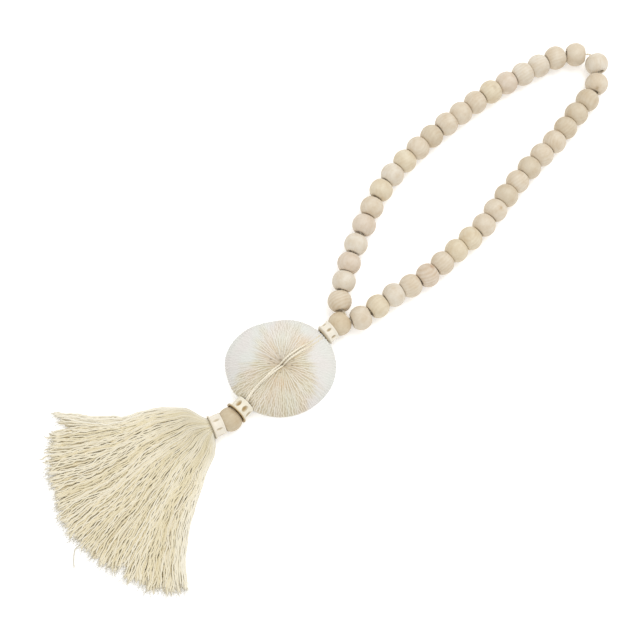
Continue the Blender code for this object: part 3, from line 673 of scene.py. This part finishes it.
# places in the source's layout: the tip of the loop, then the way from the tassel's
# neck to the loop along each side.  The left strand lies on the right one where they
# leave the ring in the middle.
LOOP_TIP = (340.3, 1.5, 10.0)
LEFT_TWINE = [(-124.7, -4.5, 10.2), (-122.5, -7.2, 10.0), (-106.7, -9.4, 10.0), (-101.9, -8.2, 9.8),
              (-95.9, -8.3, 14.6), (-86.1, -7.2, 19.8), (-78.0, -7.5, 25.3), (-69.9, -8.2, 28.5),
              (-61.9, -7.9, 28.6), (-52.9, -7.8, 28.3), (-43.9, -8.5, 28.5), (-34.7, -9.6, 26.5),
              (-25.6, -11.0, 22.0), (-17.5, -12.5, 15.4), (-10.0, -12.8, 12.9), (-5.0, -13.2, 10.4),
              (7.5, -14.7, 10.0), (15.4, -15.3, 10.0), (16.8, -14.0, 10.0), (17.6, -11.4, 10.0),
              (17.9, -9.2, 10.0)]
RIGHT_TWINE = [(-125.3, -7.1, 10.2), (-122.5, -9.8, 10.0), (-106.7, -12.0, 10.0),
               (-101.9, -10.6, 9.8), (-95.9, -10.0, 13.8), (-86.1, -7.8, 17.8),
               (-78.0, -8.1, 23.4), (-69.9, -8.9, 26.8), (-61.9, -9.8, 27.6),
               (-52.9, -10.1, 28.0), (-43.9, -11.1, 28.2), (-34.7, -12.4, 26.2),
               (-25.6, -14.0, 21.7), (-17.5, -15.4, 15.2), (-10.0, -15.1, 12.8),
               (-5.0, -15.8, 10.4), (7.5, -17.3, 10.0), (15.4, -17.9, 10.0),
               (16.8, -18.2, 10.0), (17.2, -20.1, 10.0)]


def unit(vectors):
    return vectors / np.linalg.norm(vectors, axis=-1, keepdims=True)


def swept(name, paths, radii, sides, tints):
    """One mesh of round strands along paths of equally many points, all in mm.

    Radii and tints are one for all, or one for each point.  The UV map runs once
    round each strand, and in metres along it.
    """
    count, stations, _ = paths.shape
    ahead = unit(np.gradient(paths, axis=1))
    # one direction across each strand is carried along it, so that it doesn't twist
    side = np.cross(ahead[:, 0], [0.0, 0.0, 1.0])
    frames = np.empty_like(paths)
    for n in range(stations):
        side = unit(side - ahead[:, n] * np.sum(side * ahead[:, n], axis=1, keepdims=True))
        frames[:, n] = side
    other = np.cross(ahead, frames)
    angles = np.arange(sides) / sides * 2 * math.pi
    rim = (frames[:, :, None] * np.cos(angles)[:, None]
           + other[:, :, None] * np.sin(angles)[:, None])
    radii = np.broadcast_to(radii, (count, stations))
    points = paths[:, :, None] + rim * radii[..., None, None]
    index = np.arange(count * stations * sides).reshape(count, stations, sides)
    after = np.roll(index, -1, axis=2)
    quads = np.stack([index[:, :-1], after[:, :-1], after[:, 1:], index[:, 1:]], axis=-1)
    quads = quads.reshape(-1, 4)
    caps = np.concatenate([index[:, 0, ::-1], index[:, -1]])
    along = np.cumsum(np.linalg.norm(np.diff(paths, axis=1, prepend=paths[:, :1]), axis=2), axis=1)
    shape = (count, stations - 1, sides)
    low = np.broadcast_to(along[:, :-1, None], shape) * MM
    high = np.broadcast_to(along[:, 1:, None], shape) * MM
    left = np.broadcast_to(np.arange(sides) / sides, shape)
    right = left + 1 / sides
    uv = np.stack([left, low, right, low, right, high, left, high], axis=-1).ravel()
    mesh = bpy.data.meshes.new(name)
    mesh.from_pydata(points.reshape(-1, 3) * MM, [], [*quads.tolist(), *caps.tolist()])
    cap_uv = np.zeros(caps.size * 2)
    mesh.uv_layers.new(name="strand").data.foreach_set("uv", np.concatenate([uv, cap_uv]))
    mesh.shade_smooth()
    tints = np.broadcast_to(tints, (count, stations, 4)).reshape(-1, 4)
    put_attribute(mesh, "tint", "FLOAT_COLOR", np.repeat(tints, sides, axis=0))
    strand = bpy.data.objects.new(name, mesh)
    bpy.context.scene.collection.objects.link(strand)
    return strand


def lengths_along(route):
    """How far along a route each of its points lies."""
    return np.concatenate([[0.0], np.cumsum(np.linalg.norm(np.diff(route, axis=0), axis=1))])


def even_steps(points, step):
    """The same route in even steps, its corners rounded."""
    route = np.array(points, dtype=float)
    length = lengths_along(route)
    places = np.linspace(0.0, length[-1], int(length[-1] / step))
    dense = np.stack([np.interp(places, length, route[:, k]) for k in range(3)], axis=1)
    window = max(3, int(4.0 / step) | 1)
    padded = np.pad(dense, ((window // 2, window // 2), (0, 0)), mode="edge")
    kernel = np.ones(window) / window
    eased = np.stack([np.convolve(padded[:, k], kernel, mode="valid") for k in range(3)], axis=1)
    eased[0], eased[-1] = dense[0], dense[-1]
    return eased


def twisted(route):
    """The two plies that wind round a route."""
    ahead = unit(np.gradient(route, axis=0))
    side = unit(np.cross(ahead, [0.0, 0.0, 1.0]))
    up = np.cross(side, ahead)
    turn = lengths_along(route) / TWIST_LENGTH * 2 * math.pi
    wind = side * np.cos(turn)[:, None] + up * np.sin(turn)[:, None]
    return np.stack([route + PLY_OFFSET * wind, route - PLY_OFFSET * wind])


# unbleached cotton: matt, faintly hairy, fibres lying at a slant along each ply
cotton_twine = new_material("unbleached cotton twine",
                            {"Roughness": 0.85, "Sheen Weight": 0.25, "Sheen Roughness": 0.5})
uv = add_node(cotton_twine, "UVMap", {"uv_map": "strand"})
slant = add_node(cotton_twine, "VectorMath",
                 {"operation": "DOT_PRODUCT", 1: (1.0, 1 / (FIBRE_LAY * MM), 0.0)},
                 {0: uv.outputs["UV"]})
fibre = add_node(cotton_twine, "Math", {"operation": "PINGPONG", 1: 0.125},
                 {0: slant.outputs["Value"]})
where = add_node(cotton_twine, "TexCoord")
uneven = add_node(cotton_twine, "TexNoise", {"Scale": 1 / (TWINE_PATCH * MM), "Detail": 3.0},
                  {"Vector": where.outputs["Object"]})
twine_colour = add_node(cotton_twine, "Mix",
                        {"data_type": "RGBA", 6: linear("#F3ECDB"), 7: linear("#E8DFC9")},
                        {0: uneven.outputs["Fac"]})
tint = add_node(cotton_twine, "Attribute", {"attribute_name": "tint"})
dusted = add_node(cotton_twine, "Mix",
                  {"data_type": "RGBA", "blend_type": "MULTIPLY", 0: 1.0},
                  {6: twine_colour.outputs[2], 7: tint.outputs["Color"]})
bump = add_node(cotton_twine, "Bump", {"Strength": 0.5, "Distance": 0.40 * MM},
                {"Height": fibre.outputs[0]})
wire_shader(cotton_twine, dusted.outputs[2], bump)


def laid_on_coral(route):
    """Keeps a route on the coral's face, sunk between two walls at the loop's end."""
    x, y = route[:, 0], route[:, 1]
    _, share = from_mouth(x, y)
    clear = LIFT - SINK * np.clip((x - SINK_FROM) / SINK_LENGTH, 0.0, 1.0)
    raised = np.where(share < 0.97, coral_top(x, y) + clear, route[:, 2])
    raised[x < -66.0] = np.maximum(raised, route[:, 2])[x < -66.0]
    return np.stack([x, y, raised], axis=1)


bead_line = {side: [tuple(bead_place(f"bead_{side}_{number:02d}")[0] / MM + ORIGIN)
                    for number in range(1, len(tones) + 1)]
             for side, tones in BEAD_TONES.items()}
closed_route = (LEFT_TWINE + bead_line["left"] + [LOOP_TIP] + bead_line["right"][::-1]
                + RIGHT_TWINE[::-1])
route = laid_on_coral(even_steps(closed_route, TWINE_STEP))
# chalk from the coral has whitened it towards the ring at the loop
chalky = np.clip((route[:, 0] + 34.0) / 14.0, 0.0, 1.0)
chalky = chalky * np.clip((2.0 - route[:, 0]) / 4.0, 0.0, 1.0)
twine = swept("twine", twisted(route - np.array(ORIGIN)), PLY_RADIUS, TWINE_SIDES,
              blend(np.ones(4), "#EAE6DC", chalky[:, None]))
finish_piece(twine, cotton_twine, "cord", "cord")

for side, apart in (("left", BEHIND_APART), ("right", -BEHIND_APART)):
    behind = [(-7.2, -14.3 + apart, 4.6), (-10.2, -13.9 + apart, 4.5), (-13.7, -13.7 + apart, 1.3),
              (-92.4, -9.5 + apart, 1.3), (-95.9, -9.1 + apart, 6.0), (-98.9, -9.2 + apart, 6.1)]
    route = even_steps(behind, TWINE_STEP) - np.array(ORIGIN)
    strand = swept(f"twine_behind_{side}", twisted(route), PLY_RADIUS, TWINE_SIDES, np.ones(4))
    finish_piece(strand, cotton_twine, "cord", f"cord_behind_{side}")

# ---- yarn tassel -------------------------------------------------------------
# Several hundred lengths of soft unbleached cotton yarn, about 1 mm thick, bound
# in the cap ring, cut by hand at uneven lengths and brushed out into a fan.  Each
# keeps the kinks of the skein and hangs together with its neighbours in bunches.
FAN_APEX = (-117.0, 2.3)
ROOT_REACH = 30.0             # where the fan begins, from its apex
# the fan's two sides: reach from its apex, heading in degrees
LEFT_EDGE = [(30.0, 52.5), (50.0, 49.3), (80.0, 43.8), (110.0, 43.7), (135.0, 45.4), (165.0, 48.0)]
RIGHT_EDGE = [(30.0, -40.8), (36.0, -40.6), (43.0, -37.2), (52.0, -33.6), (80.0, -32.6),
              (110.0, -33.3), (128.0, -34.0), (150.0, -37.0), (165.0, -39.5)]
# place across the fan, right side to left, and reach of the yarns that end there
TIP_LINE = [(-1.0, 151.5), (-0.94, 150.0), (-0.81, 155.5), (-0.74, 152.5), (-0.71, 160.0),
            (-0.60, 151.5), (-0.545, 158.5), (-0.46, 148.5), (-0.39, 156.5), (-0.26, 159.0),
            (-0.10, 156.5), (0.02, 158.0), (0.15, 157.5), (0.28, 153.5), (0.38, 150.5),
            (0.45, 153.0), (0.51, 149.0), (0.59, 145.5), (0.67, 144.0), (0.80, 142.0),
            (0.85, 138.0), (0.872, 123.0), (0.89, 135.5), (0.945, 135.0), (0.965, 142.0),
            (1.0, 142.0)]
# how high the pile is: reach, height
PILE = [(30.0, 16.5), (60.0, 12.5), (100.0, 9.4), (130.0, 8.0), (160.0, 5.6)]
LEVELS = 7                    # the yarns lie seven deep
A_LEVEL = 130                 # yarns in one level
YARNS = LEVELS * A_LEVEL
YARN_RADIUS = 0.57
BULK = [1.6, 1.6, 1.6, 1.5, 1.4, 1.25, 1.16]     # the lower yarns lie pressed together
YARN_SIDES = 5
FAN_STATIONS = 58
ROOT_STATIONS = 8
NECK_RADIUS = 8.1             # of the bundle in the cap ring
LOCKS = 27                    # locks across the fan
PARTINGS = 56                 # slits where two locks lie apart
YARN_TWIST = 2.6              # length of one turn of the yarn's own twist
YARN_TONES = ["#E6DDC3", "#E3D8BA", "#E8E0CA", "#E0D5B5", "#E5DCC4"]
FRAYED = 1300                 # single fibres that stand out of the cut ends
FIBRE_RADIUS = 0.14           # drawn coarser than cotton so that they show
FIBRE_SIDES = 3
FIBRE_STATIONS = 7
SLIPPED_RADIUS = 0.45         # of the one yarn that has slipped out


def table_at(table, x):
    return np.interp(x, [row[0] for row in table], [row[1] for row in table])


# each yarn's level, its place across the bundle, u, from -1 to 1, and its place from
# the bottom of the bundle to the top, v, from 0 to 1
rng = np.random.default_rng(17)
level = np.repeat(np.arange(LEVELS), A_LEVEL)
place = np.tile(np.arange(A_LEVEL), LEVELS) + 0.5 * (level % 2) + rng.uniform(-0.25, 0.25, YARNS)
u = np.clip((place + 0.25) / A_LEVEL * 1.96 - 0.98, -0.985, 0.985)
v = (level + 0.5 + rng.uniform(-0.25, 0.25, YARNS)) / LEVELS
tip = table_at(TIP_LINE, u) + 1.2 - rng.exponential(1.8, YARNS) - (LEVELS - 1 - level) * 1.0
lock_middle = np.linspace(-0.96, 0.96, LOCKS) + rng.uniform(-0.02, 0.02, (LEVELS, LOCKS))
lock = np.argmin(np.abs(lock_middle[level] - u[:, None]), axis=1)
pull = (lock_middle[level, lock] - u) * np.clip(rng.normal(0.12, 0.12, YARNS), 0.0, 0.5)
tip -= rng.uniform(0.0, 4.0, (LEVELS, LOCKS))[level, lock]
# thin wisps reach past the others at the left
wisp = (rng.random(YARNS) < 0.08) & (u > 0.56) & (u < 0.83)
tip += np.where(wisp, rng.uniform(5.0, 13.0, YARNS), 0.0)

t = np.linspace(0, 1, FAN_STATIONS)
reach = ROOT_REACH + (tip[:, None] - ROOT_REACH) * t
left, right = table_at(LEFT_EDGE, reach), table_at(RIGHT_EDGE, reach)
half_arc = reach * np.radians(left - right) / 2
spread = np.clip((reach - 38.0) / 80.0, 0.0, 1.0)
spread = spread * spread * (3 - 2 * spread)
grow = np.clip((reach - 30.0) / 40.0, 0.0, 1.0)


def waves(amount, shortest, longest):
    """A different sway for each yarn, in mm, along its reach."""
    length = rng.uniform(shortest, longest, (YARNS, 1))
    return amount * rng.uniform(0.3, 1.3, (YARNS, 1)) * np.sin(
        reach / length * 2 * math.pi + rng.uniform(0, 2 * math.pi, (YARNS, 1)))


# kinks of its own, then drifts that it shares with the yarns round it
crinkled = 1.0 + 0.45 * np.clip((reach - 80.0) / 60.0, 0.0, 1.0)
sideways = waves(0.22, 6.5, 10.5) * crinkled + waves(0.38, 11.0, 18.0) + waves(0.5, 22.0, 36.0)
sideways *= 0.3 + 0.7 * grow
across, deep = u[:, None], level[:, None]
sideways += 1.7 * grow * patches(reach / 38, across * 4.5 + deep * 0.12, 31)
sideways += 0.8 * grow * patches(reach / 20, across * 11.0 + deep * 0.35, 32)
stray = (level >= LEVELS - 2) & (rng.random(YARNS) < 0.10)
sideways += np.where(stray[:, None], waves(2.6, 60.0, 110.0) * grow, 0.0)
for _ in range(PARTINGS):
    middle, at = rng.uniform(-0.85, 0.85), 38.0 + 92.0 * rng.uniform(0.0, 1.0) ** 1.4
    long, wide = rng.uniform(8.0, 28.0), rng.uniform(0.25, 0.75)
    down = rng.choice([2, 4, 4, 4, 5, 5])         # the lowest level that parts
    near = np.exp(-np.abs(across - middle) / 0.022 - ((reach - at) / long) ** 2)
    sideways += wide * np.sign(across - middle) * near * (deep >= down)
# at the upper left a thin lock has come away from the rest
away = np.clip((reach - 112.0) / 20.0, 0.0, 1.0) ** 1.5
beside = np.where(across > 0.77, -3.2 * (across - 0.77) / 0.105, 0.0)
sideways += away * np.where(across > 0.875, 2.0, beside)
# the last 12 mm of each yarn splays out of its lock
left_over = np.clip((reach - (tip[:, None] - 12.0)) / 12.0, 0.0, 1.0) ** 2
sideways += left_over * rng.normal(0, 1.3, (YARNS, 1))
share_across = across + pull[:, None] * spread
share_across = (np.clip(share_across, -1.0, 1.0)
                + sideways / half_arc * np.clip((1.12 - np.abs(across)) * 4, 0.15, 1.0))
angle = np.radians(right + (left - right) * (1 + share_across) / 2)
thin = 1.0 - 0.45 * np.clip(share_across, -1, 1) ** 4
height = table_at(PILE, reach) * thin * v[:, None] + np.where(stray[:, None], 0.5 * grow, 0.0)
height += (waves(0.10, 8.0, 13.0) + waves(0.22, 20.0, 40.0)) * (0.4 + 0.6 * grow)
height += left_over * rng.normal(0, 0.7, (YARNS, 1))
fan = np.stack([FAN_APEX[0] - reach * np.cos(angle), FAN_APEX[1] + reach * np.sin(angle), height],
               axis=2)

# from inside the cap ring each yarn curves out to its place in the fan
cap = BONE_RINGS["ring_cap"]
heading, tilt = math.radians(cap["heading"]), math.radians(cap["tilt"])
cap_along = np.array([math.cos(tilt) * math.cos(heading), math.cos(tilt) * math.sin(heading),
                      math.sin(tilt)])
cap_side = np.array([-math.sin(heading), math.cos(heading), 0.0])
cap_face = np.array(cap["middle"]) - cap_along * cap["length"] / 2
# the same places in the round bundle at the neck
w = 2 * v - 1
round_u, round_v = u * np.sqrt(1 - w * w / 2), w * np.sqrt(1 - u * u / 2)
neck = NECK_RADIUS * (cap_side * round_u[:, None] + np.array([0, 0, 1.0]) * round_v[:, None])
first = cap_face + cap_along * 3.5 + neck * 0.92
start = cap_face - cap_along * 0.3 + neck
splay = np.linalg.norm(fan[:, 0] - start, axis=1, keepdims=True)
leave = -cap_along * splay * 0.65 + neck * 1.15
arrive = unit(fan[:, 1] - fan[:, 0]) * splay
root = [first]
for s in np.linspace(0.0, 1.0, ROOT_STATIONS, endpoint=False):
    a, b = 2 * s ** 3 - 3 * s ** 2 + 1, s ** 3 - 2 * s ** 2 + s
    c, d = -2 * s ** 3 + 3 * s ** 2, s ** 3 - s ** 2
    root.append(a * start + b * leave + c * fan[:, 0] + d * arrive)
paths = np.concatenate([np.stack(root, axis=1), fan], axis=1) - np.array(ORIGIN)
stations = paths.shape[1]
station = np.arange(stations)
profile = np.interp(station, [0, ROOT_STATIONS, ROOT_STATIONS + 12, stations - 2, stations - 1],
                    [0.72, 0.77, 0.98, 1.10, 0.6])
radii = YARN_RADIUS * profile * rng.uniform(0.86, 1.12, (YARNS, 1)) * np.array(BULK)[level][:, None]
radii = np.where(wisp[:, None] & (station > stations - 12), radii * 0.6, radii)
paths[:, :, 2] = np.maximum(paths[:, :, 2], radii + 0.02)     # none dips into the surface
# painted shade: yarns below the top ones are painted darker and more buff, as the warm
# shade in the gaps between yarns, and all are painted darker towards the neck, as shade
# in the cap ring; the cut ends are paler
tones = np.array([linear(tone) for tone in YARN_TONES])[rng.integers(0, len(YARN_TONES), YARNS)]
tones = tones * (1.0 - (1.0 - level / (LEVELS - 1))[:, None] * np.array([0.08, 0.13, 0.28, 0.0]))
pale = np.clip((station - stations + 5) / 5, 0.0, 1.0)[:, None] * 0.4
pale = np.maximum(pale, np.clip((np.abs(u) - 0.82) / 0.2, 0.0, 0.6)[:, None, None])
tints = blend(tones[:, None], "#F0EBDC", pale)
# painted shade: darker from inside the cap ring out to the start of the fan
shaded = np.interp(station, [0, ROOT_STATIONS + 4, ROOT_STATIONS + 16], [0.87, 0.93, 1.0])
tints[..., :3] *= shaded[:, None]

# soft cotton yarn: matt with a short fuzz, each turn of its twist a slanting ridge, with
# painted shade darkening the groove between ridges
cotton_yarn = new_material("soft spun cotton yarn",
                           {"Roughness": 0.9, "Sheen Weight": 0.12, "Sheen Roughness": 0.5})
tint = add_node(cotton_yarn, "Attribute", {"attribute_name": "tint"})
uv = add_node(cotton_yarn, "UVMap", {"uv_map": "strand"})
slant = add_node(cotton_yarn, "VectorMath",
                 {"operation": "DOT_PRODUCT", 1: (1.0, 2 / (YARN_TWIST * MM), 0.0)},
                 {0: uv.outputs["UV"]})
ridge = add_node(cotton_yarn, "Math", {"operation": "PINGPONG", 1: 0.5},
                 {0: slant.outputs["Value"]})
# painted shade: the colour is a little darker in the groove of each turn of the twist
twist_groove_shade = add_node(cotton_yarn, "MapRange",
                  {"From Min": 0.0, "From Max": 0.2, "To Min": 0.96, "To Max": 1.0},
                  {"Value": ridge.outputs[0]})
yarn_colour = add_node(cotton_yarn, "VectorMath", {"operation": "SCALE"},
                       {0: tint.outputs["Color"], 3: twist_groove_shade.outputs[0]})
bump = add_node(cotton_yarn, "Bump", {"Strength": 0.25, "Distance": 0.30 * MM},
                {"Height": ridge.outputs[0]})
wire_shader(cotton_yarn, yarn_colour.outputs["Vector"], bump)

# in three pieces, the hidden one with fewer faces
for name, lowest, highest, step, sides in (("yarn_under", 0, 2, 2, 4),
                                           ("yarn_between", 3, 4, 1, YARN_SIDES),
                                           ("yarn_over", 5, 6, 1, YARN_SIDES)):
    mine = (level >= lowest) & (level <= highest)
    yarns = swept(name, paths[mine, ::step], radii[mine, ::step], sides, tints[mine, ::step])
    finish_piece(yarns, cotton_yarn, "yarn", "tassel")

# single fibres curl out of the cut ends, and one long end has slipped out
who = rng.integers(A_LEVEL, YARNS, FRAYED)
ahead = unit(paths[who, -1] - paths[who, -3])
s = np.linspace(0, 1, FIBRE_STATIONS)[:, None]
length = rng.uniform(2.0, 6.5, (FRAYED, 1, 1))
curl = rng.normal(0, 1, (FRAYED, 1, 3)) * np.array([0.5, 0.5, 0.2])
fibres = paths[who, -1][:, None] + ahead[:, None] * (s * length - 2.0) + curl * s ** 2 * length
fibres[:, :, 2] = np.maximum(fibres[:, :, 2], 0.25)
fray = swept("yarn_fray", fibres, FIBRE_RADIUS, FIBRE_SIDES, linear("#DAD4C4"))
finish_piece(fray, cotton_yarn, "yarn", "tassel")
slipped = even_steps([(-236.0, 9.0, 6.5), (-258.0, 5.0, 5.0), (-267.0, 4.2, 3.2),
                      (-272.5, 3.6, 2.0), (-277.7, 4.6, 1.2), (-281.5, 1.5, 0.9),
                      (-285.5, -2.6, 0.8), (-288.4, -6.2, 0.7)], 1.0)
stray_end = swept("yarn_slipped", slipped[None] - np.array(ORIGIN), SLIPPED_RADIUS, YARN_SIDES,
                  linear("#CFC8B4"))
finish_piece(stray_end, cotton_yarn, "yarn", "tassel")

# ---- floor, light and camera -------------------------------------------------
# A white sheet, lit from below as well, under broad soft light from above, and a
# camera nearly overhead with a long lens.
FLOOR_SIZE = 8.0              # in metres
FLOOR_GAP = 0.2               # below the string
VIEWED_FROM = Vector((-219.6, -219.6, 1159.1))    # in the source's layout
floor = start_mesh(bpy.ops.mesh.primitive_plane_add, size=FLOOR_SIZE,
                   location=(0, 0, -FLOOR_GAP * MM))
floor.name = "floor"
white = new_material("back-lit white sheet",
                     {"Base Color": linear("#FAFAFA"), "Roughness": 0.9,
                      "Specular IOR Level": 0.1, "Emission Color": (1.0, 1.0, 1.0, 1.0),
                      "Emission Strength": 0.25})
floor.data.materials.append(white)

world = bpy.data.worlds.new("soft studio")
world.use_nodes = True
world.node_tree.nodes["Background"].inputs["Color"].default_value = (1.0, 1.0, 1.0, 1.0)
world.node_tree.nodes["Background"].inputs["Strength"].default_value = 0.73
bpy.context.scene.world = world


def soft_box(name, place, size, power):
    """A square lamp that faces the middle of the floor."""
    lamp = bpy.data.lights.new(name, "AREA")
    lamp.shape = "SQUARE"
    lamp.size = size
    lamp.energy = power
    obj = bpy.data.objects.new(name, lamp)
    obj.location = place
    obj.rotation_mode = "QUATERNION"
    obj.rotation_quaternion = (-Vector(place)).to_track_quat("-Z", "Y")
    bpy.context.scene.collection.objects.link(obj)


soft_box("key", (1.05, 0.05, 1.8), 1.4, 20.0)
soft_box("fill", (-1.2, -0.2, 1.8), 1.6, 8.2)

camera = bpy.data.cameras.new("camera")
camera.lens = 79.4
camera.sensor_width = 36.0
camera.clip_end = 20.0
viewer = bpy.data.objects.new("camera", camera)
viewer.location = (VIEWED_FROM - ORIGIN) * MM
viewer.rotation_mode = "QUATERNION"
viewer.rotation_quaternion = (-VIEWED_FROM).to_track_quat("-Z", "Y")
bpy.context.scene.collection.objects.link(viewer)
bpy.context.scene.camera = viewer
bpy.context.scene.view_settings.view_transform = "Standard"
